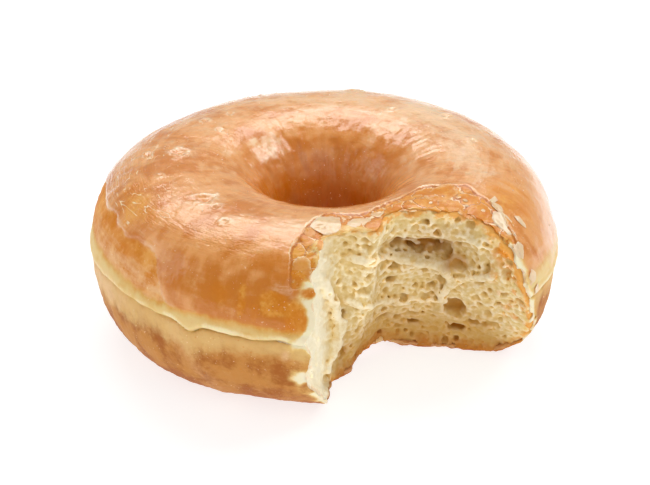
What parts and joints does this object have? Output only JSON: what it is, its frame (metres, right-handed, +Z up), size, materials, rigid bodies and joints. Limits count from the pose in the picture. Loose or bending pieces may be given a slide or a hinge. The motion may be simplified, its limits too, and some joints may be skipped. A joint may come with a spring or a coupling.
{
  "type": "bitten glazed ring doughnut",
  "caption": "Raised ring doughnut with a cracked sugar glaze, lying flat, with a bite taken out of its front that bares the open crumb.",
  "frame": {"origin": "under the middle of the ring, on the surface that the doughnut lies on", "axes": "+Z up through the hole, -Y towards the side with the bite, +X to the right as the bite is faced"},
  "size_m": [0.0941, 0.0947, 0.0377],
  "materials": {
    "crust": "fried golden brown crust under a thin clear to milky sugar glaze, glossy and uneven",
    "crumb": "pale cream, open and torn, matt"
  },
  "bodies": {
    "root": {"doughnut": "crust"}
  },
  "joints": []
}
